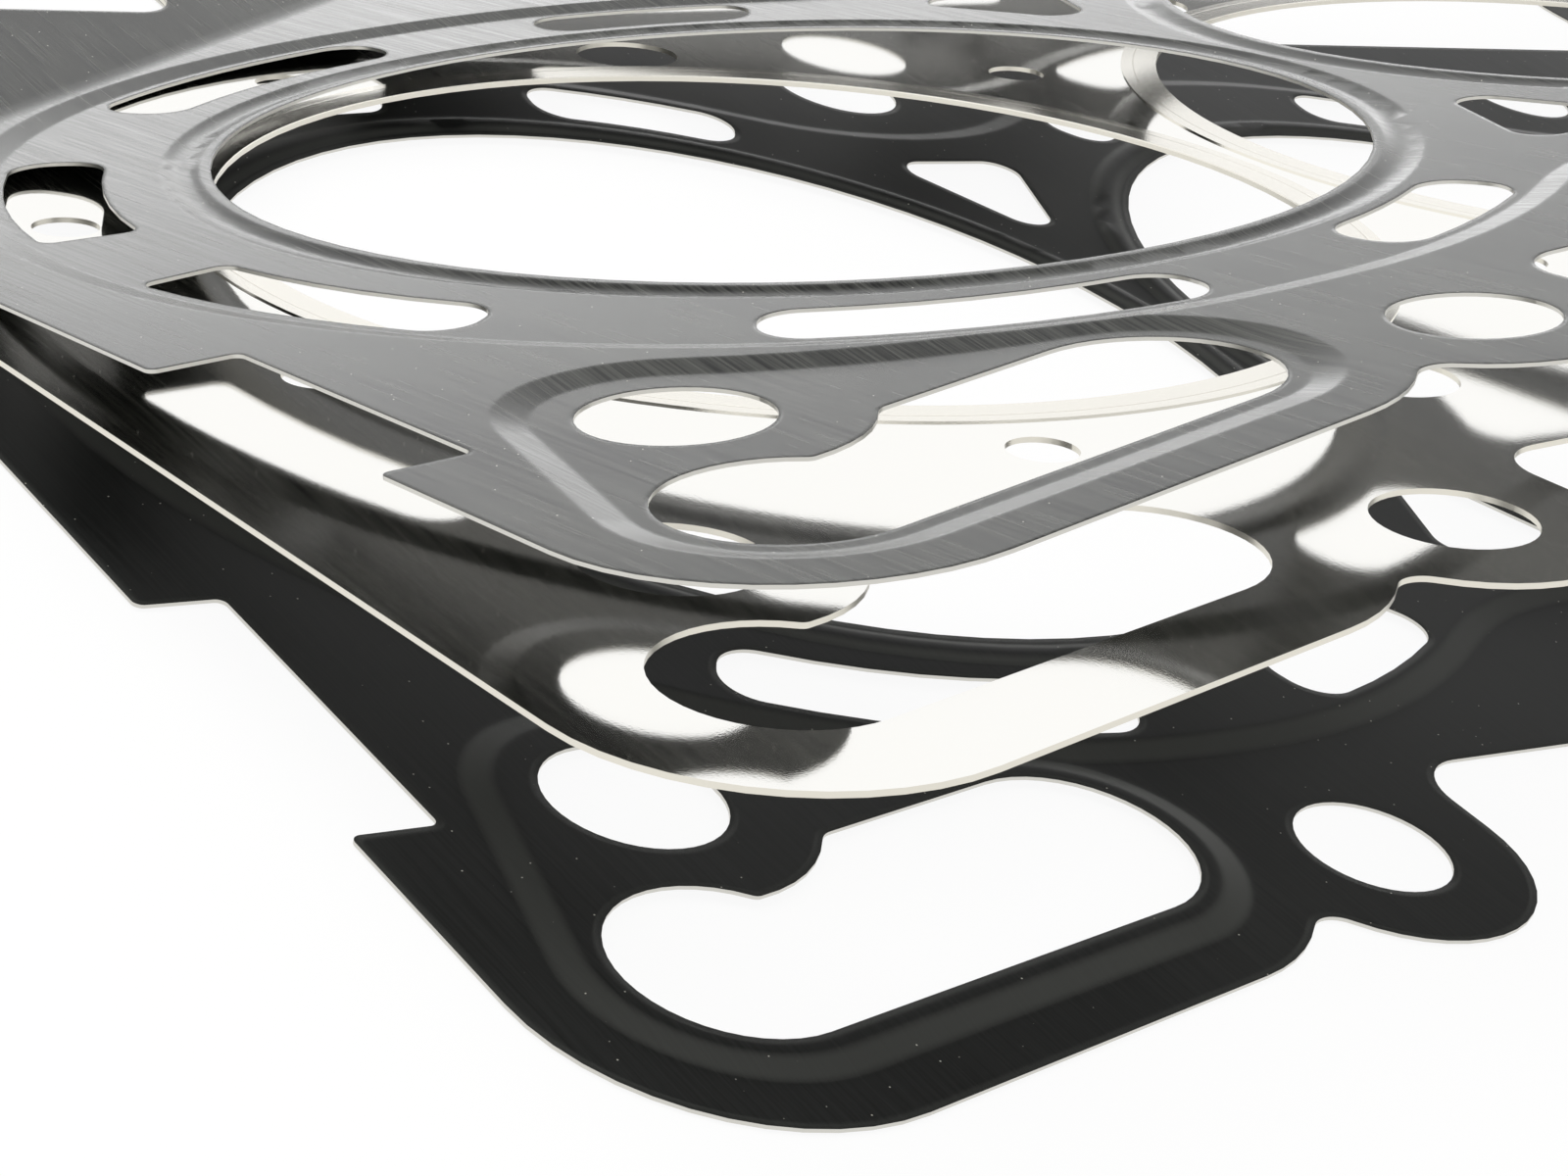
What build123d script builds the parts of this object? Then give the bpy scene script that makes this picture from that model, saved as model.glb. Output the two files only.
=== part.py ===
"""Multi-layer steel cylinder head gasket for one bank of three cylinders.

Two embossed spring-steel layers lie either side of a plain stainless middle
layer that carries a stopper ring round each bore. Three hollow eyelets hold
the layers together at one corner. From that corner the layers are fanned open:
the bottom layer lies flat, and the middle and top layers bend up from it.

Every layer is cut from the same flat pattern. The pattern's origin is the axis
of the middle bore, +X runs along the row of bores and -Y is the side with the
oil port. Sizes are millimetres and degrees.
"""

import math
import os

from build123d import *

# Bores
bore_count = 3
bore_pitch = 96.0
bore_diameter = 88.0

# Sheets
embossed_thickness = 0.25
middle_thickness = 0.4
layer_clearance = 0.05

# Full bead round each bore
bead_land = 0.8
bead_width = 3.0
bead_height = 0.3

# Half beads round the water jacket and round the oil port
step_height = 0.45
step_width = 2.2

# Stopper ring on the middle layer
stopper_width = 3.2
stopper_thickness = 0.12

# Water jacket and its slots, measured from the bore's axis. Round an end bore the
# jacket's centre lies further out than the bore's.
jacket_radius = 57.1
jacket_end_shift = 3.4
jacket_waist_radius = 32.0
slot_inner_radius = 49.0
slot_outer_radius = 56.2
slot_corner_radius = 1.2
slot_round = 3.2
inner_slot = (58.0, 79.0)
middle_slot = (92.5, 125.5)
end_slot = (145.0, 172.5)
waist_hole_apex = 20.0
waist_hole_depth = 18.0
waist_hole_width = 15.0
waist_hole_corner = 2.5

# Bolt holes
head_bolt_hole_diameter = 12.0
head_bolt_row = 56.2
end_bolt_offset = 49.3
ear_hole_diameter = 11.0
ear_radius = 11.2
near_ear_offset = (0.3, -71.7)
far_ear_offset = (-4.0, 82.0)

# Oil port, a long hole with two round ends at the near corner, from the end bore
port_left_offset = (-53.6, -73.5)
port_left_radius = 7.8
port_right_offset = (-22.2, -67.3)
port_right_radius = 8.0
port_neck_wall = 5.8
port_step_land = 1.35
bolt_step_land = 2.7
port_waist_radius = 55.0
port_cusp_radius = 0.8
port_shoulder_radius = 1.8

# Outline
end_margin = 69.2
near_edge = 63.5
far_edge = 70.0
corner_radius = 14.0
bolt_lobe_radius = 11.6
port_right_wall = 7.6
neck_radius = 4.5
tight_neck_radius = 2.2
notch_depth = 6.2
notch_near = -56.0
notch_far = -28.5
notch_corner_radius = 0.7

# Round metering holes of the middle layer
small_metering_diameter = 5.0
large_metering_diameter = 9.0
metering_radius = 51.8
large_metering_direction = 70.0
small_metering_directions = (104.0, 159.0)
waist_metering_offset = 31.0

# Eyelets
eyelet_offsets = ((-58.5, 62.0), (-60.5, 47.5), (-39.5, 64.5))
eyelet_outer_diameter = 4.0
eyelet_wall = 0.3
eyelet_flange_diameter = 6.6
eyelet_flange_thickness = 0.2
eyelet_clearance = 0.1

# Fan of the layers
fan_direction = 121.3
bend_clearance = 0.2
middle_bend_radius = 20.0
top_bend_radius = 8.0
middle_angle = 10.8
top_angle = 16.8

# Two ends this near are one corner, and edges that turn by less run on smoothly
touch_tolerance = 0.001
smooth_turn = 3.0

# Derived sizes
bore_radius = bore_diameter / 2
bore_places = [bore_pitch * (i - (bore_count - 1) / 2) for i in range(bore_count)]
waist_places = [(left + right) / 2 for left, right in zip(bore_places, bore_places[1:])]
first_bore = bore_places[0]
last_bore = bore_places[-1]
bolt_columns = [first_bore - end_bolt_offset, *waist_places, last_bore + end_bolt_offset]
jacket_ends = (first_bore - jacket_end_shift, last_bore + jacket_end_shift)
left_end = first_bore - end_margin
right_end = last_bore + end_margin
bead_inner = bore_radius + bead_land
bead_outer = bead_inner + bead_width
far_reach = 3 * (right_end - left_end)
bottom_level = eyelet_flange_thickness
middle_level = bottom_level + embossed_thickness + layer_clearance
top_level = middle_level + middle_thickness + layer_clearance
stack_top = top_level + embossed_thickness
cut_reach = 2 * (step_height + bead_height + embossed_thickness + middle_thickness)
barrel_outer = eyelet_outer_diameter / 2
barrel_inner = barrel_outer - eyelet_wall
flange_radius = eyelet_flange_diameter / 2
eyelet_top = stack_top + eyelet_flange_thickness


def from_end_bore(offset):
    """Place a point that is measured from the axis of the first bore."""
    return (first_bore + offset[0], offset[1])


head_bolt_radius = head_bolt_hole_diameter / 2
end_bolt = (bolt_columns[0], -head_bolt_row)
port_left = from_end_bore(port_left_offset)
port_right = from_end_bore(port_right_offset)
near_ears = [(place + near_ear_offset[0], near_ear_offset[1]) for place in bore_places]
far_ears = [(place + far_ear_offset[0], far_ear_offset[1]) for place in bore_places]
eyelets = [from_end_bore(offset) for offset in eyelet_offsets]


def polar(center, radius, angle):
    """Point at a distance and direction from a centre."""
    return (
        center[0] + radius * math.cos(math.radians(angle)),
        center[1] + radius * math.sin(math.radians(angle)),
    )


def direction(start, end):
    """Direction in degrees from one point to another."""
    return math.degrees(math.atan2(end[1] - start[1], end[0] - start[0]))


def tangent_side(first, first_radius, second, second_radius, side):
    """Direction from both centres to the line that touches both circles on one side."""
    spread = math.degrees(math.acos((first_radius - second_radius) / math.dist(first, second)))
    return direction(first, second) + side * spread


def waist_center(first, first_reach, second, second_reach):
    """Centre of the hollow arc that lies left of the way from first to second."""
    span = math.dist(first, second)
    along = (span**2 + first_reach**2 - second_reach**2) / (2 * span)
    turn = math.degrees(math.acos(along / first_reach))
    return polar(first, first_reach, direction(first, second) + turn)


def sharp_vertices(sketch):
    """Corners of an outline where its two edges don't run on into each other."""
    sharp = []
    edges = sketch.edges()
    for vertex in sketch.vertices():
        point = Vector(*vertex)
        tangents = []
        for edge in edges:
            for end in (0, 1):
                if (edge.position_at(end) - point).length < touch_tolerance:
                    tangents.append(edge.tangent_at(end))
        turn = tangents[0].cross(tangents[1]).length if len(tangents) == 2 else 0
        if turn > math.sin(math.radians(smooth_turn)):
            sharp.append(vertex)
    return sharp


# Contours of the beads. Grow is how far a contour lies outside the foot of its step.
def jacket_contour(grow):
    """Line round all the bores and their water slots, drawn in between the bores."""
    radius = jacket_radius + grow
    reach = jacket_radius + jacket_waist_radius
    lift = math.sqrt(reach**2 - (bore_pitch / 2) ** 2)
    lean = math.degrees(math.atan2(lift, bore_pitch / 2))
    with BuildSketch() as contour:
        with BuildLine():
            CenterArc((jacket_ends[0], 0), radius, 90, 180)
            CenterArc((jacket_ends[1], 0), radius, -90, 180)
            for side in (-1, 1):
                CenterArc((first_bore, 0), radius, side * lean, side * (90 - lean))
                Line((first_bore, side * radius), (jacket_ends[0], side * radius))
                CenterArc((last_bore, 0), radius, side * 90, side * (90 - lean))
                Line((last_bore, side * radius), (jacket_ends[1], side * radius))
                for place in waist_places:
                    start = side * (lean - 180)
                    sweep = side * (180 - 2 * lean)
                    CenterArc((place, side * lift), jacket_waist_radius - grow, start, sweep)
                for place in bore_places[1:-1]:
                    CenterArc((place, 0), radius, side * lean, side * (180 - 2 * lean))
        make_face()
    return contour.sketch


def port_contour(grow):
    """Line round the oil port and the end bolt hole, with a hollow waist between them."""
    left_radius = port_left_radius + port_step_land + grow
    right_radius = port_right_radius + port_step_land + grow
    bolt_radius = head_bolt_radius + bolt_step_land + grow
    low = tangent_side(port_left, left_radius, port_right, right_radius, -1)
    back = tangent_side(end_bolt, bolt_radius, port_left, left_radius, -1)
    reach = port_waist_radius
    waist = waist_center(
        end_bolt, bolt_radius - grow + reach, port_right, right_radius - grow + reach
    )
    right_touch = direction(port_right, waist)
    bolt_touch = direction(end_bolt, waist)
    with BuildSketch() as contour:
        with BuildLine():
            right = CenterArc(port_right, right_radius, low, (right_touch - low) % 360)
            hollow_start = direction(waist, port_right)
            hollow_sweep = (direction(waist, end_bolt) - hollow_start) % -360
            CenterArc(waist, reach - grow, hollow_start, hollow_sweep)
            bolt = CenterArc(end_bolt, bolt_radius, bolt_touch, (back - bolt_touch) % 360)
            left = CenterArc(port_left, left_radius, back, (low - back) % 360)
            Line(bolt @ 1, left @ 0)
            Line(left @ 1, right @ 0)
        make_face()
    return contour.sketch


# Flat pattern that the layers share
def stadium(first, second, radius):
    """Outline round two equal circles."""
    middle = ((first[0] + second[0]) / 2, (first[1] + second[1]) / 2)
    with BuildSketch() as shape:
        with Locations(first, second):
            Circle(radius)
        with Locations(Location((*middle, 0), (0, 0, direction(first, second)))):
            Rectangle(math.dist(first, second), 2 * radius)
    return shape.sketch


def block(left, right, low, high):
    """Rectangle between two values of X and two of Y."""
    with BuildSketch() as shape:
        with Locations(((left + right) / 2, (low + high) / 2)):
            Rectangle(right - left, high - low)
    return shape.sketch


def port_corner():
    """Corner of the outline that runs parallel to the oil port's round ends."""
    with BuildSketch() as corner:
        with Locations(port_left):
            Circle(port_left[0] - left_end)
        with Locations(port_right):
            Circle(port_right_radius + port_right_wall)
        make_hull()
        add(block(left_end, port_right[0], port_left[1], 0))
    return corner.sketch


def lobed_outline():
    """Outer line of every layer, with its bolt ears and lobes blended into the sides."""
    right_row = right_end - bolt_lobe_radius
    with BuildSketch() as outline:
        add(block(left_end, right_row, -near_edge, far_edge))
        add(block(left_end, right_end, -head_bolt_row, far_edge))
        fillet(outline.vertices().group_by(Axis.Y)[-1], corner_radius)
        add(port_corner())
        add(stadium((bolt_columns[-1], -head_bolt_row), (right_row, -head_bolt_row), bolt_lobe_radius))
        for place in waist_places:
            with Locations((place, -head_bolt_row)):
                Circle(bolt_lobe_radius)
        for ear in near_ears:
            add(stadium(ear, (ear[0], -near_edge), ear_radius))
        for ear in far_ears:
            add(stadium(ear, (ear[0], far_edge), ear_radius))
        necks = ShapeList(sharp_vertices(outline))
        tight_necks = necks.filter_by(lambda neck: neck.Y < near_ears[0][1])
        fillet(tight_necks, tight_neck_radius)
        fillet(ShapeList(sharp_vertices(outline)), neck_radius)
    return outline.sketch


def notched_outline():
    """Outer line of the embossed layers, set back along the end beside a locating tab."""
    bottom = left_end + notch_depth
    low, high = notch_near - touch_tolerance, notch_far + touch_tolerance
    with BuildSketch() as outline:
        add(lobed_outline())
        add(block(left_end - notch_depth, bottom, notch_near, notch_far), mode=Mode.SUBTRACT)
        beside_notch = outline.vertices().filter_by_position(Axis.Y, low, high)
        corners = beside_notch.filter_by(lambda corner: corner.X < bottom + touch_tolerance)
        fillet(corners, notch_corner_radius)
    return outline.sketch


def bore_holes():
    """Combustion openings."""
    with BuildSketch() as holes:
        with Locations([(place, 0) for place in bore_places]):
            Circle(bore_radius)
    return holes.sketch


def port_hole():
    """Oil port, with a waist that leaves a wall round the end bolt."""
    with BuildSketch() as hole:
        with Locations(port_left):
            Circle(port_left_radius)
        with Locations(port_right):
            Circle(port_right_radius)
        make_hull()
        with Locations(end_bolt):
            Circle(head_bolt_radius + port_neck_wall, mode=Mode.SUBTRACT)
        with Locations(port_left):
            Circle(port_left_radius)
        corners = ShapeList(sharp_vertices(hole)).sort_by(Axis.X)
        fillet(corners[0], port_cusp_radius)
        fillet(ShapeList(sharp_vertices(hole)), port_shoulder_radius)
    return hole.sketch


def slot(center, start, end, start_round, end_round):
    """Slot along part of a ring round a centre, between two directions."""
    with BuildSketch() as shape:
        with BuildLine():
            outer = CenterArc((center, 0), slot_outer_radius, start, end - start)
            inner = CenterArc((center, 0), slot_inner_radius, start, end - start)
            first = Line(outer @ 0, inner @ 0)
            last = Line(outer @ 1, inner @ 1)
        make_face()
        for line, radius in ((first, start_round), (last, end_round)):
            fillet(shape.vertices().sort_by_distance(line @ 0.5)[:2], radius)
    return shape.sketch


def waist_hole(place, side):
    """Three-cornered water hole between two bores."""
    tip = side * waist_hole_apex
    foot = side * (waist_hole_apex + waist_hole_depth)
    with BuildSketch() as shape:
        with BuildLine():
            Polyline(
                (place, tip),
                (place - waist_hole_width / 2, foot),
                (place + waist_hole_width / 2, foot),
                close=True,
            )
        make_face()
        fillet(shape.vertices(), waist_hole_corner)
    return shape.sketch


def end_directions(angles, center):
    """Directions that are given for the jacket's first end, or mirrored for its last."""
    return angles if center < 0 else tuple(180 - angle for angle in reversed(angles))


def water_slots():
    """Slots and waist holes that pass water through the embossed layers."""
    with BuildSketch() as slots:
        for bore in bore_places:
            for side in (-1, 1):
                if bore != last_bore:
                    add(slot(bore, side * inner_slot[0], side * inner_slot[1], slot_round, slot_round))
                if bore != first_bore:
                    start, end = (side * (180 - angle) for angle in inner_slot)
                    add(slot(bore, start, end, slot_round, slot_round))
        for center in jacket_ends:
            for side in (-1, 1):
                start, end = end_directions(middle_slot, center)
                add(slot(center, side * start, side * end, slot_round, slot_round))
                start, end = end_directions(end_slot, center)
                rounds = (slot_round, slot_corner_radius)
                rounds = rounds if center < 0 else rounds[::-1]
                add(slot(center, side * start, side * end, *rounds))
        for place in waist_places:
            add(waist_hole(place, -1))
            add(waist_hole(place, 1))
    return slots.sketch


def metering_holes():
    """Round holes by which the middle layer meters the flow between the slots."""
    with BuildSketch() as holes:
        for side in (-1, 1):
            for bore in bore_places:
                turns = [1] * (bore != last_bore) + [-1] * (bore != first_bore)
                for turn in turns:
                    place = polar((0, 0), metering_radius, large_metering_direction)
                    with Locations((bore + turn * place[0], side * place[1])):
                        Circle(large_metering_diameter / 2)
            for center, turn in zip(jacket_ends, (1, -1)):
                for angle in small_metering_directions:
                    place = polar((0, 0), metering_radius, angle)
                    with Locations((center + turn * place[0], side * place[1])):
                        Circle(small_metering_diameter / 2)
            with Locations([(place, side * waist_metering_offset) for place in waist_places]):
                Circle(small_metering_diameter / 2)
    return holes.sketch


def raised_bolt_holes():
    """Bolt holes clear of the corner that holds the layers together."""
    near_row = [(column, -head_bolt_row) for column in bolt_columns]
    far_row = [(column, head_bolt_row) for column in bolt_columns[1:]]
    with BuildSketch() as holes:
        with Locations(near_row + far_row):
            Circle(head_bolt_radius)
        with Locations(near_ears + far_ears[1:]):
            Circle(ear_hole_diameter / 2)
    return holes.sketch


def corner_holes():
    """Bolt and eyelet holes of the corner that holds the layers together."""
    with BuildSketch() as holes:
        with Locations((bolt_columns[0], head_bolt_row)):
            Circle(head_bolt_radius)
        with Locations(far_ears[0]):
            Circle(ear_hole_diameter / 2)
        with Locations(eyelets):
            Circle(barrel_outer + eyelet_clearance)
    return holes.sketch


# Planes that carry the flat pattern
fan_axis = Vector(*polar((0, 0), 1, fan_direction))
fan_away = -fan_axis
jacket_foot = jacket_radius + step_width + (fan_axis * jacket_end_shift).dot(Vector(-1, 0))
top_bend_length = top_bend_radius * math.radians(top_angle)
bend_start = jacket_foot + top_bend_length + bend_clearance
bend_foot = Vector(first_bore, 0) + fan_axis * bend_start


def lifted_plane(level, angle, bend_radius):
    """Plane of the pattern past a bend that turns up from a level by an angle."""
    turn = math.radians(angle)
    bend_end = Vector(0, 0, level)
    bend_end += bend_foot + fan_away * (bend_radius * math.sin(turn))
    bend_end += Vector(0, 0, bend_radius * (1 - math.cos(turn)))
    slope = fan_away * math.cos(turn) + Vector(0, 0, math.sin(turn))
    hinge = fan_away.cross(Vector(0, 0, 1))
    along = -fan_away.dot(bend_foot) - bend_radius * turn
    across = -hinge.dot(bend_foot)
    origin = bend_end + slope * along + hinge * across
    x_dir = slope * fan_away.X + hinge * hinge.X
    return Plane(origin=origin, x_dir=x_dir, z_dir=hinge.cross(slope))


def fan_half(boundary, corner_side):
    """Half of the pattern on one side of a line across the fan's direction."""
    reach = far_reach if corner_side else -far_reach
    center = Vector(first_bore, 0) + fan_axis * (boundary + reach / 2)
    with BuildSketch() as half:
        with Locations(Location((center.X, center.Y, 0), (0, 0, fan_direction))):
            Rectangle(far_reach, far_reach)
    return half.sketch


def bend_profile(level, angle, bend_radius, thickness):
    """Section of the bent strip, seen along the bend."""
    hinge = fan_away.cross(Vector(0, 0, 1))
    with BuildSketch(Plane(origin=bend_foot, x_dir=fan_away, z_dir=hinge)) as section:
        with BuildLine():
            under = CenterArc((0, level + bend_radius), bend_radius, -90, angle)
            over = CenterArc((0, level + bend_radius), bend_radius - thickness, -90, angle)
            Line(under @ 0, over @ 0)
            Line(under @ 1, over @ 1)
        make_face()
    return section.sketch


def bent_sheet(outline, level, angle, bend_radius, thickness):
    """Add a sheet that lies flat at the corner and bends up past it."""
    section = bend_profile(level, angle, bend_radius, thickness)
    extrude(section, amount=far_reach, both=True)
    extrude(outline, amount=far_reach, mode=Mode.INTERSECT)
    flat = Plane.XY.offset(level)
    with BuildSketch(flat, mode=Mode.PRIVATE) as corner:
        add(outline)
        add(fan_half(bend_start, True), mode=Mode.INTERSECT)
    extrude(corner.sketch, amount=thickness)
    lifted = lifted_plane(level, angle, bend_radius)
    lifted_from = bend_start - bend_radius * math.radians(angle)
    with BuildSketch(lifted, mode=Mode.PRIVATE) as rest:
        add(outline)
        add(fan_half(lifted_from, False), mode=Mode.INTERSECT)
    extrude(rest.sketch, amount=thickness)


def step_sections(contour, plane, rise):
    """Foot and shoulder of a half bead's slope, a rise apart."""
    return plane * contour(step_width).face(), plane.offset(rise) * contour(0).face()


def step(contour, plane, rise, thickness):
    """Press the region inside a contour up or down by a rise, at constant thickness."""
    under, over = plane, plane.offset(thickness)
    added, removed = (over, under) if rise > 0 else (under, over)
    loft(step_sections(contour, added, rise), ruled=True)
    loft(step_sections(contour, removed, rise), ruled=True, mode=Mode.SUBTRACT)


def bead_ring(plane, bore, height):
    """Ring of a full bead's rounded section round one bore."""
    with BuildSketch(Plane(plane.location * Location((bore, 0, 0), (90, 0, 0)))) as section:
        with BuildLine():
            crest = (bead_inner + bead_width / 2, height)
            ThreePointArc((bead_inner, 0), crest, (bead_outer, 0))
            Line((bead_outer, 0), (bead_inner, 0))
        make_face()
    return section.sketch


def full_beads(plane, height, thickness):
    """Press a rounded bead round every bore, at constant thickness."""
    under, over = plane, plane.offset(thickness)
    added, removed = (over, under) if height > 0 else (under, over)
    for bore in bore_places:
        axis = Axis(plane.from_local_coords((bore, 0, 0)), plane.z_dir)
        revolve(bead_ring(added, bore, height), axis)
        revolve(bead_ring(removed, bore, height), axis, mode=Mode.SUBTRACT)


def through(sketch, plane):
    """Cut a sketch through the sheet that lies on a plane."""
    extrude(plane * sketch, amount=cut_reach, both=True, mode=Mode.SUBTRACT)


def embossed_layer(rise, plane):
    """Steps, beads and openings of an embossed layer."""
    step(jacket_contour, plane, rise, embossed_thickness)
    step(port_contour, plane, rise, embossed_thickness)
    full_beads(plane.offset(rise), math.copysign(bead_height, rise), embossed_thickness)
    for openings in (bore_holes, port_hole, water_slots, raised_bolt_holes):
        through(openings(), plane)


# Bottom layer, flat on what the gasket lies on and pressed upwards
flat_plane = Plane.XY.offset(bottom_level)
with BuildPart() as bottom_layer:
    extrude(flat_plane * notched_outline(), amount=embossed_thickness)
    embossed_layer(step_height, flat_plane)
    through(corner_holes(), flat_plane)
bottom_layer.part.label = "bottom_layer"

# Middle layer, plain sheet with metering holes in place of the slots
middle_plane = lifted_plane(middle_level, middle_angle, middle_bend_radius)
with BuildPart() as middle_layer:
    bend = (middle_level, middle_angle, middle_bend_radius)
    bent_sheet(lobed_outline(), *bend, middle_thickness)
    for openings in (bore_holes, port_hole, metering_holes, raised_bolt_holes):
        through(openings(), middle_plane)
    through(corner_holes(), Plane.XY.offset(middle_level))
middle_layer.part.label = "middle_layer"

# Top layer, the bottom layer's pattern pressed downwards
top_plane = lifted_plane(top_level, top_angle, top_bend_radius)
with BuildPart() as top_layer:
    bend = (top_level, top_angle, top_bend_radius)
    bent_sheet(notched_outline(), *bend, embossed_thickness)
    embossed_layer(-step_height, top_plane)
    through(corner_holes(), Plane.XY.offset(top_level))
top_layer.part.label = "top_layer"

# Stopper rings, welded to the top of the middle layer round the bores
stopper_rings = []
for bore in bore_places:
    with BuildPart() as stopper_ring:
        with BuildSketch(middle_plane.offset(middle_thickness)):
            with Locations((bore, 0)):
                Circle(bore_radius + stopper_width)
                Circle(bore_radius, mode=Mode.SUBTRACT)
        extrude(amount=stopper_thickness)
    stopper_ring.part.label = f"stopper_ring_{len(stopper_rings) + 1}"
    stopper_rings.append(stopper_ring)

# Eyelets, hollow and rolled over both faces of the stack
eyelet_parts = []
for place in eyelets:
    with BuildPart() as eyelet:
        with BuildSketch(Plane(origin=(*place, 0), x_dir=(1, 0, 0), z_dir=(0, -1, 0))):
            with BuildLine():
                Polyline(
                    (barrel_inner, 0),
                    (flange_radius, 0),
                    (flange_radius, bottom_level),
                    (barrel_outer, bottom_level),
                    (barrel_outer, stack_top),
                    (flange_radius, stack_top),
                    (flange_radius, eyelet_top),
                    (barrel_inner, eyelet_top),
                    close=True,
                )
            make_face()
        revolve(axis=Axis((*place, 0), (0, 0, 1)))
    eyelet.part.label = f"eyelet_{len(eyelet_parts) + 1}"
    eyelet_parts.append(eyelet)

os.makedirs("parts", exist_ok=True)
for piece in (bottom_layer, middle_layer, top_layer, *stopper_rings, *eyelet_parts):
    export_step(piece.part, f"parts/{piece.part.label}.step")
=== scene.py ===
"""Looks of a fanned multi-layer steel cylinder head gasket.

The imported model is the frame: every sheet, ring and eyelet keeps its own mesh
and is dressed here. Lengths are metres unless a name ends in _mm.
"""

import logging
import math
from dataclasses import dataclass, field
from enum import Enum
from typing import Any

import bpy
from mathutils import Matrix, Vector

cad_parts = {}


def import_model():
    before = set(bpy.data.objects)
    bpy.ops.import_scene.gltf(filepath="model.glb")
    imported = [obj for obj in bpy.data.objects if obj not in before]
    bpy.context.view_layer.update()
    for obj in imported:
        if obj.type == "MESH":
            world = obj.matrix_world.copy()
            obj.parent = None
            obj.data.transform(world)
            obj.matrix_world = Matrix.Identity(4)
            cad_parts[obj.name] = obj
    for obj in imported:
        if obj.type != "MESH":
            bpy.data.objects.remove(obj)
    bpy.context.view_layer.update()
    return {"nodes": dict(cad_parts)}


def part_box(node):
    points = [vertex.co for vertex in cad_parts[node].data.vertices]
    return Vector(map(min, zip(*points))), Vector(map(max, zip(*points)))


LOG = logging.getLogger("gasket")
MM_PER_METRE = 1000


def linear(hex_colour: str) -> tuple[float, float, float, float]:
    """Turn an sRGB hex colour into the linear colour that shaders use.

    Args:
        hex_colour: Six hex digits, with or without a leading hash.

    Returns:
        Linear red, green and blue, with full alpha.
    """
    digits = hex_colour.lstrip("#")
    channels = []
    for start in (0, 2, 4):
        value = int(digits[start : start + 2], 16) / 255
        channels.append(value / 12.92 if value <= 0.04045 else ((value + 0.055) / 1.055) ** 2.4)
    return (channels[0], channels[1], channels[2], 1.0)


def metres(length_mm: float) -> float:
    """Length in metres of a length in millimetres."""
    return length_mm / MM_PER_METRE


def repeats(length_mm: float) -> float:
    """Repeats in a metre of a pattern whose repeat is this long."""
    return MM_PER_METRE / length_mm


class Layer(Enum):
    """Sheets of the stack, by the names of their nodes."""

    BOTTOM = "bottom_layer"
    MIDDLE = "middle_layer"
    TOP = "top_layer"


class NodeGraph:
    """Node tree of one material or of the world."""

    def __init__(self, owner: bpy.types.Material | bpy.types.World) -> None:
        """Start an empty tree.

        Args:
            owner: Material or world that the tree belongs to.
        """
        self.owner = owner
        owner.use_nodes = True
        self.tree = owner.node_tree
        self.tree.nodes.clear()

    def add(self, kind: str, settings: dict[str, Any] | None = None, **inputs: Any) -> bpy.types.Node:
        """Add a node with its settings and links.

        Args:
            kind: Blender's name of the node type.
            settings: Attributes of the node.
            inputs: Values or output sockets by input name, with _ for a space,
                or by in followed by the input's number. A mix of colours takes
                its two colours as in6 and in7.

        Returns:
            The new node.
        """
        node = self.tree.nodes.new(kind)
        for name, value in (settings or {}).items():
            setattr(node, name, value)
        for name, value in inputs.items():
            number = name.removeprefix("in")
            socket = node.inputs[int(number) if number.isdigit() else name.replace("_", " ")]
            if isinstance(value, bpy.types.NodeSocket):
                self.tree.links.new(value, socket)
            else:
                socket.default_value = value
        return node

    def finish(self, surface: bpy.types.NodeSocket) -> Any:
        """Link the surface to the output and hand over the owner.

        Args:
            surface: Output socket of the last shader.

        Returns:
            The finished material or world.
        """
        kind = "World" if isinstance(self.owner, bpy.types.World) else "Material"
        self.add(f"ShaderNodeOutput{kind}", Surface=surface)
        return self.owner


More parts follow.
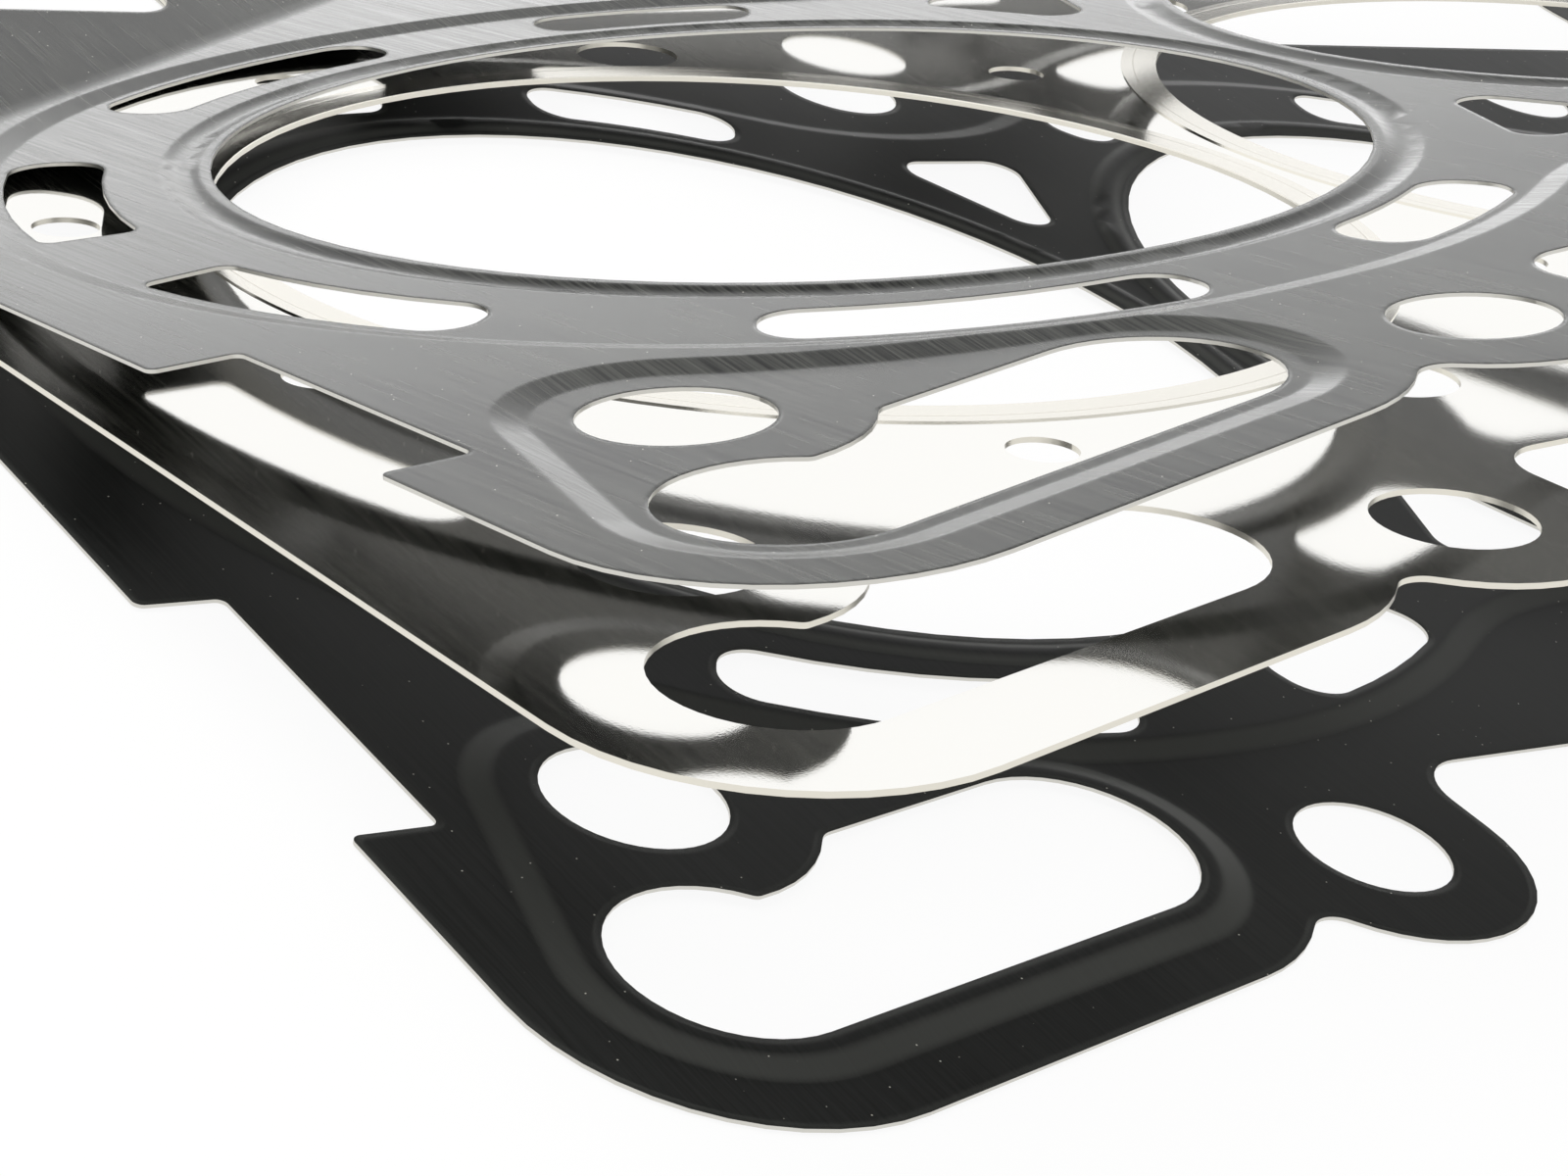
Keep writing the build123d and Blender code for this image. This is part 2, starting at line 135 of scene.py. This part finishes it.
@dataclass(frozen=True)
class RolledSheet:
    """Cold-rolled strip, rolled across the row of bores and sheared to shape.

    Fine lines run along the way of rolling. They are drawn wider than the real
    ones, which are too fine to show. The sheared edges are bare bright steel.
    """

    grain_width_mm: float = 0.24
    grain_length_mm: float = 14.0
    edge_colour: str = "#e6e2d6"
    edge_roughness: float = 0.3
    edge_cosine: float = 0.5
    flat_cosine: float = 0.998
    flank_cosine: float = 0.98

    def stretched_place(self, graph: NodeGraph) -> bpy.types.NodeSocket:
        """Place on the sheet, in grain widths across the grain and lengths along it.

        Height counts as along the grain, so that the lines run on over a sheet
        that is lifted or bent.

        Args:
            graph: Graph to add to.

        Returns:
            Socket of the place.
        """
        across, along = repeats(self.grain_width_mm), repeats(self.grain_length_mm)
        place = graph.add("ShaderNodeTexCoord").outputs["Object"]
        stretch = graph.add("ShaderNodeMapping", Vector=place, Scale=(across, along, along))
        return stretch.outputs["Vector"]

    def squareness(
        self, graph: NodeGraph, face: Vector, normal: bpy.types.NodeSocket
    ) -> bpy.types.NodeSocket:
        """Cosine of the angle between a normal and the sheet's faces, whichever side it is on.

        Args:
            graph: Graph to add to.
            face: Normal of the sheet's faces.
            normal: Socket of the normal.

        Returns:
            Socket of the cosine, from zero to one.
        """
        dot = graph.add(
            "ShaderNodeVectorMath", {"operation": "DOT_PRODUCT"}, in0=normal, in1=tuple(face)
        )
        size = graph.add("ShaderNodeMath", {"operation": "ABSOLUTE"}, in0=dot.outputs["Value"])
        return size.outputs[0]

    def with_sheared_edges(
        self, graph: NodeGraph, face: Vector, surface: bpy.types.NodeSocket
    ) -> bpy.types.NodeSocket:
        """Bare the steel on the sheared edges of a sheet.

        Args:
            graph: Graph to add to.
            face: Normal of the sheet's faces.
            surface: Shader of the faces.

        Returns:
            Socket of the shader of faces and edges.
        """
        normal = graph.add("ShaderNodeNewGeometry").outputs["True Normal"]
        mask = graph.add(
            "ShaderNodeMath",
            {"operation": "LESS_THAN"},
            in0=self.squareness(graph, face, normal),
            in1=self.edge_cosine,
        )
        steel = graph.add(
            "ShaderNodeBsdfPrincipled",
            Base_Color=linear(self.edge_colour),
            Metallic=1.0,
            Roughness=self.edge_roughness,
        )
        both = graph.add("ShaderNodeMixShader", Fac=mask.outputs[0], in1=surface, in2=steel.outputs[0])
        return both.outputs[0]

    def flank_mask(
        self, graph: NodeGraph, face: Vector, normal: bpy.types.NodeSocket
    ) -> bpy.types.NodeSocket:
        """One on the sloping flanks of the beads and zero on the flats.

        Args:
            graph: Graph to add to.
            face: Normal of the sheet's faces.
            normal: Socket of the normal with the shoulders rounded.

        Returns:
            Socket of the mask.
        """
        mask = graph.add(
            "ShaderNodeMapRange",
            Value=self.squareness(graph, face, normal),
            From_Min=self.flat_cosine,
            From_Max=self.flank_cosine,
        )
        return mask.outputs[0]


@dataclass(frozen=True)
class CoatedSpringSteel:
    """Spring steel under a thin nitrile rubber coating, sprayed and baked.

    The coating is dark grey and satin, and the rolled grain of the steel shows
    through it as fine lines. The shoulders of the beads shade as if rounded, and
    a painted flank highlight share above zero paints their flanks paler, a painted
    highlight. Dust lies on it as pale specks. The coating's grit and the dust are
    drawn coarser than the real ones, which are too fine to show.
    """

    name: str
    sheet: RolledSheet = field(default_factory=lambda: RolledSheet(edge_colour="#d4d2cb"))
    dark_colour: str = "#131413"
    pale_colour: str = "#444541"
    tone_range: tuple[float, float] = (0.38, 0.62)
    cloud_mm: float = 22.0
    cloud_share: float = 0.25
    # Painted highlight: colour and share of the paler bead flanks.
    painted_flank_highlight_colour: str = "#4b4c49"
    painted_flank_highlight_share: float = 0.0
    shoulder_mm: float = 0.5
    shoulder_samples: int = 6
    dust_colour: str = "#c9c7bd"
    dust_spacing_mm: float = 1.4
    dust_radius_mm: float = 0.07
    dust_core_share: float = 0.5
    roughness: tuple[float, float] = (0.2, 0.28)
    gloss_range: tuple[float, float] = (0.3, 0.7)
    specular: float = 0.24
    coating_grit_mm: float = 0.22
    grit_share: float = 0.5
    bump_mm: float = 0.0022

    def build(self, face: Vector) -> bpy.types.Material:
        """Make the material for a sheet.

        Args:
            face: Normal of the sheet's faces.

        Returns:
            The material.
        """
        graph = NodeGraph(bpy.data.materials.new(self.name))
        place = graph.add("ShaderNodeTexCoord").outputs["Object"]
        lines = graph.add(
            "ShaderNodeTexNoise",
            Vector=self.sheet.stretched_place(graph),
            Scale=1.0,
            Detail=3.0,
            Roughness=0.6,
        )
        grain = lines.outputs[0]
        rounded = graph.add(
            "ShaderNodeBevel", {"samples": self.shoulder_samples}, Radius=metres(self.shoulder_mm)
        )
        shoulder = rounded.outputs[0]
        colour = self.grained_colour(graph, place, grain)
        # Painted highlight: the bead flanks are painted paler, as where light falls on them.
        if self.painted_flank_highlight_share:
            colour = self.paint_flank_highlights(graph, colour, self.sheet.flank_mask(graph, face, shoulder))
        rough = graph.add(
            "ShaderNodeMapRange",
            Value=grain,
            From_Min=self.gloss_range[0],
            From_Max=self.gloss_range[1],
            To_Min=self.roughness[0],
            To_Max=self.roughness[1],
        )
        rubber = graph.add(
            "ShaderNodeBsdfPrincipled",
            Base_Color=self.dusted(graph, place, colour),
            Roughness=rough.outputs[0],
            Specular_IOR_Level=self.specular,
            Normal=self.rubbery_normal(graph, place, grain, shoulder),
        )
        return graph.finish(self.sheet.with_sheared_edges(graph, face, rubber.outputs[0]))

    def grained_colour(
        self, graph: NodeGraph, place: bpy.types.NodeSocket, grain: bpy.types.NodeSocket
    ) -> bpy.types.NodeSocket:
        """Coating's grey, paler along the grain lines and in wide faint clouds.

        Args:
            graph: Graph to add to.
            place: Socket of the place on the piece.
            grain: Socket of the grain's pattern.

        Returns:
            Socket of the colour.
        """
        cloud = graph.add("ShaderNodeTexNoise", Vector=place, Scale=repeats(self.cloud_mm), Detail=2.0)
        mixed = graph.add(
            "ShaderNodeMix",
            {"data_type": "FLOAT"},
            Factor=self.cloud_share,
            A=grain,
            B=cloud.outputs[0],
        )
        tone = graph.add(
            "ShaderNodeMapRange",
            Value=mixed.outputs[0],
            From_Min=self.tone_range[0],
            From_Max=self.tone_range[1],
        )
        coat = graph.add(
            "ShaderNodeMix",
            {"data_type": "RGBA"},
            Factor=tone.outputs[0],
            in6=linear(self.dark_colour),
            in7=linear(self.pale_colour),
        )
        return coat.outputs["Result"]

    def paint_flank_highlights(
        self, graph: NodeGraph, colour: bpy.types.NodeSocket, flank: bpy.types.NodeSocket
    ) -> bpy.types.NodeSocket:
        """Coating's colour with a painted highlight that makes the flanks of the beads paler.

        Args:
            graph: Graph to add to.
            colour: Socket of the colour of the flats.
            flank: Socket of the mask of the flanks.

        Returns:
            Socket of the colour.
        """
        share = graph.add(
            "ShaderNodeMath", {"operation": "MULTIPLY"}, in0=flank, in1=self.painted_flank_highlight_share
        )
        paler = graph.add(
            "ShaderNodeMix",
            {"data_type": "RGBA"},
            Factor=share.outputs[0],
            in6=colour,
            in7=linear(self.painted_flank_highlight_colour),
        )
        return paler.outputs["Result"]

    def dusted(
        self, graph: NodeGraph, place: bpy.types.NodeSocket, colour: bpy.types.NodeSocket
    ) -> bpy.types.NodeSocket:
        """Coating's colour with specks of dust on it.

        Args:
            graph: Graph to add to.
            place: Socket of the place on the piece.
            colour: Socket of the clean colour.

        Returns:
            Socket of the colour.
        """
        specks = graph.add("ShaderNodeTexVoronoi", Vector=place, Scale=repeats(self.dust_spacing_mm))
        speck_edge = self.dust_radius_mm / self.dust_spacing_mm
        speck = graph.add(
            "ShaderNodeMapRange",
            Value=specks.outputs["Distance"],
            From_Min=speck_edge,
            From_Max=speck_edge * self.dust_core_share,
        )
        dusty = graph.add(
            "ShaderNodeMix",
            {"data_type": "RGBA"},
            Factor=speck.outputs[0],
            in6=colour,
            in7=linear(self.dust_colour),
        )
        return dusty.outputs["Result"]

    def rubbery_normal(
        self,
        graph: NodeGraph,
        place: bpy.types.NodeSocket,
        grain: bpy.types.NodeSocket,
        shoulder: bpy.types.NodeSocket,
    ) -> bpy.types.NodeSocket:
        """Normal of the rounded sheet with the coating's grit and grain on it.

        Args:
            graph: Graph to add to.
            place: Socket of the place on the piece.
            grain: Socket of the grain's pattern.
            shoulder: Socket of the normal with the shoulders rounded.

        Returns:
            Socket of the normal.
        """
        grit = graph.add(
            "ShaderNodeTexNoise", Vector=place, Scale=repeats(self.coating_grit_mm), Detail=1.0
        )
        height = graph.add(
            "ShaderNodeMix",
            {"data_type": "FLOAT"},
            Factor=self.grit_share,
            A=grain,
            B=grit.outputs[0],
        )
        bump = graph.add(
            "ShaderNodeBump",
            Distance=metres(self.bump_mm),
            Height=height.outputs[0],
            Normal=shoulder,
        )
        return bump.outputs[0]


@dataclass(frozen=True)
class BrightStainless:
    """Stainless steel strip, cold rolled with polished rolls and bright annealed.

    It mirrors what stands over it, and its fine grit and rolled lines fray the
    reflections. The grit is drawn coarser than the real one, which is too fine to
    show.
    """

    name: str
    sheet: RolledSheet = field(default_factory=RolledSheet)
    colour: str = "#fcfbf7"
    roughness: float = 0.05
    grit_mm: float = 0.16
    grit_depth_mm: float = 0.0011
    roll_depth_mm: float = 0.0006

    def build(self, face: Vector) -> bpy.types.Material:
        """Make the material for a sheet.

        Args:
            face: Normal of the sheet's faces.

        Returns:
            The material.
        """
        graph = NodeGraph(bpy.data.materials.new(self.name))
        stretched = self.sheet.stretched_place(graph)
        place = graph.add("ShaderNodeTexCoord").outputs["Object"]
        lines = graph.add("ShaderNodeTexNoise", Vector=stretched, Scale=1.0, Detail=2.0)
        grit = graph.add("ShaderNodeTexNoise", Vector=place, Scale=repeats(self.grit_mm), Detail=2.0)
        rolled = graph.add(
            "ShaderNodeBump", Distance=metres(self.roll_depth_mm), Height=lines.outputs[0]
        )
        fine = graph.add(
            "ShaderNodeBump",
            Distance=metres(self.grit_depth_mm),
            Height=grit.outputs[0],
            Normal=rolled.outputs[0],
        )
        mirror = graph.add(
            "ShaderNodeBsdfPrincipled",
            Base_Color=linear(self.colour),
            Metallic=1.0,
            Roughness=self.roughness,
            Normal=fine.outputs[0],
        )
        return graph.finish(self.sheet.with_sheared_edges(graph, face, mirror.outputs[0]))


@dataclass(frozen=True)
class WeldedStopperSteel:
    """Annealed stainless ring, laser welded to its sheet along one circle.

    The ring is satin and slightly warm, with a fine raised weld line. The grit is
    drawn coarser than the real one, which is too fine to show.
    """

    name: str
    colour: str = "#f4f1e8"
    weld_colour: str = "#ddd8cc"
    roughness: float = 0.14
    weld_inset_mm: float = 1.1
    weld_width_mm: float = 0.18
    grit_mm: float = 0.15
    bump_mm: float = 0.003

    def build(self, centre: Vector, outer_radius: float) -> bpy.types.Material:
        """Make the material for a ring.

        Args:
            centre: Centre of the ring.
            outer_radius: Outer radius of the ring.

        Returns:
            The material.
        """
        graph = NodeGraph(bpy.data.materials.new(self.name))
        place = graph.add("ShaderNodeTexCoord").outputs["Object"]
        away = graph.add(
            "ShaderNodeVectorMath", {"operation": "DISTANCE"}, in0=place, in1=tuple(centre)
        )
        weld_radius = outer_radius - metres(self.weld_inset_mm)
        off_weld = graph.add(
            "ShaderNodeMath", {"operation": "SUBTRACT"}, in0=away.outputs["Value"], in1=weld_radius
        )
        off_size = graph.add("ShaderNodeMath", {"operation": "ABSOLUTE"}, in0=off_weld.outputs[0])
        half_weld = metres(self.weld_width_mm) / 2
        weld = graph.add(
            "ShaderNodeMapRange", Value=off_size.outputs[0], From_Min=half_weld, From_Max=half_weld / 2
        )
        colour = graph.add(
            "ShaderNodeMix",
            {"data_type": "RGBA"},
            Factor=weld.outputs[0],
            in6=linear(self.colour),
            in7=linear(self.weld_colour),
        )
        grit = graph.add("ShaderNodeTexNoise", Vector=place, Scale=repeats(self.grit_mm), Detail=2.0)
        height = graph.add(
            "ShaderNodeMath", {"operation": "ADD"}, in0=grit.outputs[0], in1=weld.outputs[0]
        )
        bump = graph.add("ShaderNodeBump", Distance=metres(self.bump_mm), Height=height.outputs[0])
        steel = graph.add(
            "ShaderNodeBsdfPrincipled",
            Base_Color=colour.outputs["Result"],
            Metallic=1.0,
            Roughness=self.roughness,
            Normal=bump.outputs[0],
        )
        return graph.finish(steel.outputs[0])


@dataclass(frozen=True)
class ZincPlatedEyelet:
    """Mild steel eyelet, drawn, zinc plated and rolled over by a punch.

    The plating is pale, satin and a little mottled.
    """

    name: str
    colour: str = "#c8c5ba"
    dull_colour: str = "#9d9a90"
    roughness: float = 0.34
    mottle_mm: float = 0.8
    bump_mm: float = 0.006

    def build(self) -> bpy.types.Material:
        """Make the material.

        Returns:
            The material.
        """
        graph = NodeGraph(bpy.data.materials.new(self.name))
        place = graph.add("ShaderNodeTexCoord").outputs["Object"]
        mottle = graph.add("ShaderNodeTexNoise", Vector=place, Scale=repeats(self.mottle_mm), Detail=3.0)
        colour = graph.add(
            "ShaderNodeMix",
            {"data_type": "RGBA"},
            Factor=mottle.outputs[0],
            in6=linear(self.colour),
            in7=linear(self.dull_colour),
        )
        bump = graph.add("ShaderNodeBump", Distance=metres(self.bump_mm), Height=mottle.outputs[0])
        steel = graph.add(
            "ShaderNodeBsdfPrincipled",
            Base_Color=colour.outputs["Result"],
            Metallic=1.0,
            Roughness=self.roughness,
            Normal=bump.outputs[0],
        )
        return graph.finish(steel.outputs[0])


def seen_rays(graph: NodeGraph) -> bpy.types.NodeSocket:
    """One for what the camera sees, directly or in a reflection, and zero for light on the gasket.

    Args:
        graph: Graph to add to.

    Returns:
        Socket of the mask.
    """
    path = graph.add("ShaderNodeLightPath")
    seen = graph.add(
        "ShaderNodeMath",
        {"operation": "MAXIMUM"},
        in0=path.outputs["Is Camera Ray"],
        in1=path.outputs["Is Glossy Ray"],
    )
    return seen.outputs[0]


@dataclass(frozen=True)
class StudioPaper:
    """Seamless white paper, matt, that reads as white to the camera and in reflections."""

    name: str = "seamless_white_paper"
    colour: str = "#f2f2f0"
    roughness: float = 0.9
    seen_white: float = 0.93

    def build(self) -> bpy.types.Material:
        """Make the material.

        Returns:
            The material.
        """
        graph = NodeGraph(bpy.data.materials.new(self.name))
        share = graph.add(
            "ShaderNodeMath", {"operation": "MULTIPLY"}, in0=seen_rays(graph), in1=self.seen_white
        )
        paper = graph.add(
            "ShaderNodeBsdfPrincipled", Base_Color=linear(self.colour), Roughness=self.roughness
        )
        glow = graph.add("ShaderNodeEmission", Strength=1.0)
        both = graph.add(
            "ShaderNodeMixShader", Fac=share.outputs[0], in1=paper.outputs[0], in2=glow.outputs[0]
        )
        return graph.finish(both.outputs[0])


def face_normal(sheet: bpy.types.Object) -> Vector:
    """Upward normal of the greatest part of a sheet.

    Args:
        sheet: Sheet's object.

    Returns:
        Unit normal.
    """
    total = Vector((0.0, 0.0, 0.0))
    for polygon in sheet.data.polygons:
        if polygon.normal.z > 0:
            total += polygon.normal * polygon.area
    return total.normalized()


def dress(piece: bpy.types.Object, material: bpy.types.Material) -> None:
    """Put one material on a piece.

    Args:
        piece: Piece to dress.
        material: Material that it gets.
    """
    piece.data.materials.clear()
    piece.data.materials.append(material)
    LOG.info("%s is dressed in %s", piece.name, material.name)


@dataclass
class EmbossedLayers:
    """Coated top and bottom layers with their half beads and full beads.

    The bottom layer is the same coating with painted shade: its grey is painted
    darker, its bead flanks paler as a painted highlight, and it is more matt and
    rounds the shoulders more.
    """

    nodes: dict[str, bpy.types.Object]
    finishes: dict[Layer, CoatedSpringSteel] = field(
        default_factory=lambda: {
            # Painted shade: the bottom layer's grey is painted darker, as in the shade of the layers
            # above, and its flanks paler as a painted highlight.
            Layer.BOTTOM: CoatedSpringSteel(
                "shaded_rubber_coated_spring_steel_bottom",
                dark_colour="#131413",
                pale_colour="#212221",
                roughness=(0.38, 0.46),
                specular=0.06,
                painted_flank_highlight_share=0.6,
                shoulder_mm=0.9,
            ),
            Layer.TOP: CoatedSpringSteel("rubber_coated_spring_steel_top"),
        }
    )

    def build(self) -> None:
        """Dress both layers."""
        for layer, finish in self.finishes.items():
            sheet = self.nodes[layer.value]
            dress(sheet, finish.build(face_normal(sheet)))


@dataclass
class StopperLayer:
    """Bright middle layer and the stopper rings that are welded to it."""

    nodes: dict[str, bpy.types.Object]
    ring_prefix: str = "stopper_ring_"

    def build(self) -> None:
        """Dress the layer and its rings."""
        sheet = self.nodes[Layer.MIDDLE.value]
        finish = BrightStainless("bright_annealed_stainless")
        dress(sheet, finish.build(face_normal(sheet)))
        for name in sorted(self.nodes):
            if name.startswith(self.ring_prefix):
                self.dress_ring(name)

    def dress_ring(self, name: str) -> None:
        """Dress one ring, with its weld line round its own centre.

        Args:
            name: Node of the ring.
        """
        low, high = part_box(name)
        centre = (low + high) / 2
        reach = max((vertex.co - centre).length for vertex in self.nodes[name].data.vertices)
        finish = WeldedStopperSteel(f"laser_welded_stainless_{name}")
        dress(self.nodes[name], finish.build(centre, reach))


@dataclass
class Eyelets:
    """Eyelets that hold the layers together at one corner."""

    nodes: dict[str, bpy.types.Object]
    prefix: str = "eyelet_"

    def build(self) -> None:
        """Dress the eyelets."""
        material = ZincPlatedEyelet("zinc_plated_steel").build()
        for name in sorted(self.nodes):
            if name.startswith(self.prefix):
                dress(self.nodes[name], material)


@dataclass
class Studio:
    """White paper floor, a soft lamp overhead, a low wide one behind and a white surround.

    The surround gives less light than it shows. Towards the ceiling it is darker,
    and the ceiling's heights are sines of the angle above the horizon.
    """

    floor_size: float = 12.0
    lamp_place: tuple[float, float, float] = (-0.35, 0.25, 0.9)
    lamp_size: float = 0.9
    lamp_watts: float = 7.0
    back_place: tuple[float, float, float] = (0.86, 1.2, 0.07)
    back_size: tuple[float, float] = (1.15, 0.16)
    back_watts: float = 1.5
    surround_colour: str = "#ffffff"
    surround_light: float = 0.7
    ceiling_start: float = 0.38
    ceiling_full: float = 0.62
    ceiling_light: float = 0.35

    def build(self) -> None:
        """Make the floor, the lamps and the surround."""
        self.add_floor()
        self.add_lamps()
        self.add_surround()

    def add_floor(self) -> None:
        """Lay the paper under the gasket."""
        half = self.floor_size / 2
        corners = [(-half, -half, 0.0), (half, -half, 0.0), (half, half, 0.0), (-half, half, 0.0)]
        mesh = bpy.data.meshes.new("paper_floor")
        mesh.from_pydata(corners, [], [(0, 1, 2, 3)])
        floor = bpy.data.objects.new("paper_floor", mesh)
        bpy.context.scene.collection.objects.link(floor)
        dress(floor, StudioPaper().build())

    def add_lamps(self) -> None:
        """Hang a square soft lamp over the gasket and stand a wide one behind it."""
        above = bpy.data.lights.new("soft_lamp", "AREA")
        above.size = self.lamp_size
        above.energy = self.lamp_watts
        behind = bpy.data.lights.new("back_lamp", "AREA")
        behind.shape = "RECTANGLE"
        behind.size, behind.size_y = self.back_size
        behind.energy = self.back_watts
        for light, place in ((above, self.lamp_place), (behind, self.back_place)):
            lamp = bpy.data.objects.new(light.name, light)
            lamp.location = place
            lamp.rotation_euler = (-lamp.location).to_track_quat("-Z", "Y").to_euler()
            bpy.context.scene.collection.objects.link(lamp)

    def add_surround(self) -> None:
        """Surround the scene with white, at full strength only where it is seen."""
        world = bpy.data.worlds.new("white_surround")
        bpy.context.scene.world = world
        graph = NodeGraph(world)
        heading = graph.add("ShaderNodeTexCoord").outputs["Generated"]
        height = graph.add("ShaderNodeSeparateXYZ", Vector=heading).outputs["Z"]
        seen_strength = graph.add(
            "ShaderNodeMapRange",
            {"interpolation_type": "SMOOTHSTEP"},
            Value=height,
            From_Min=self.ceiling_start,
            From_Max=self.ceiling_full,
            To_Min=1.0,
            To_Max=self.ceiling_light,
        )
        strength = graph.add(
            "ShaderNodeMapRange",
            Value=seen_rays(graph),
            To_Min=self.surround_light,
            To_Max=seen_strength.outputs[0],
        )
        background = graph.add(
            "ShaderNodeBackground", Color=linear(self.surround_colour), Strength=strength.outputs[0]
        )
        graph.finish(background.outputs[0])


@dataclass
class ViewCamera:
    """Camera close to the corner with the oil port, tilted to one side."""

    target: tuple[float, float, float] = (-0.13121, -0.04853, 0.010)
    heading_deg: float = 48.06
    depression_deg: float = 24.76
    roll_deg: float = 15.59
    distance: float = 0.2456
    lens_mm: float = 89.19
    sensor_mm: float = 36.0
    clip_start: float = 0.01

    def build(self) -> None:
        """Make the camera and let the scene use it."""
        heading, depression = math.radians(self.heading_deg), math.radians(self.depression_deg)
        forward = Vector(
            (
                math.cos(heading) * math.cos(depression),
                math.sin(heading) * math.cos(depression),
                -math.sin(depression),
            )
        )
        right = forward.cross(Vector((0.0, 0.0, 1.0))).normalized()
        up = right.cross(forward)
        turn = Matrix.Rotation(-math.radians(self.roll_deg), 3, forward)
        right, up = turn @ right, turn @ up
        place = Vector(self.target) - forward * self.distance
        axes = Matrix((right, up, -forward)).transposed().to_4x4()
        lens = bpy.data.cameras.new("view_camera")
        lens.lens = self.lens_mm
        lens.sensor_width = self.sensor_mm
        lens.sensor_fit = "HORIZONTAL"
        lens.clip_start = self.clip_start
        camera = bpy.data.objects.new("view_camera", lens)
        camera.matrix_world = Matrix.Translation(place) @ axes
        bpy.context.scene.collection.objects.link(camera)
        bpy.context.scene.camera = camera


def main() -> None:
    """Dress the gasket and set up the studio and the camera."""
    logging.basicConfig(level=logging.INFO, format="%(name)s: %(message)s")
    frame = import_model()
    nodes = frame["nodes"]
    EmbossedLayers(nodes).build()
    StopperLayer(nodes).build()
    Eyelets(nodes).build()
    Studio().build()
    ViewCamera().build()
    bpy.context.scene.view_settings.view_transform = "Standard"


if __name__ == "__main__":
    main()
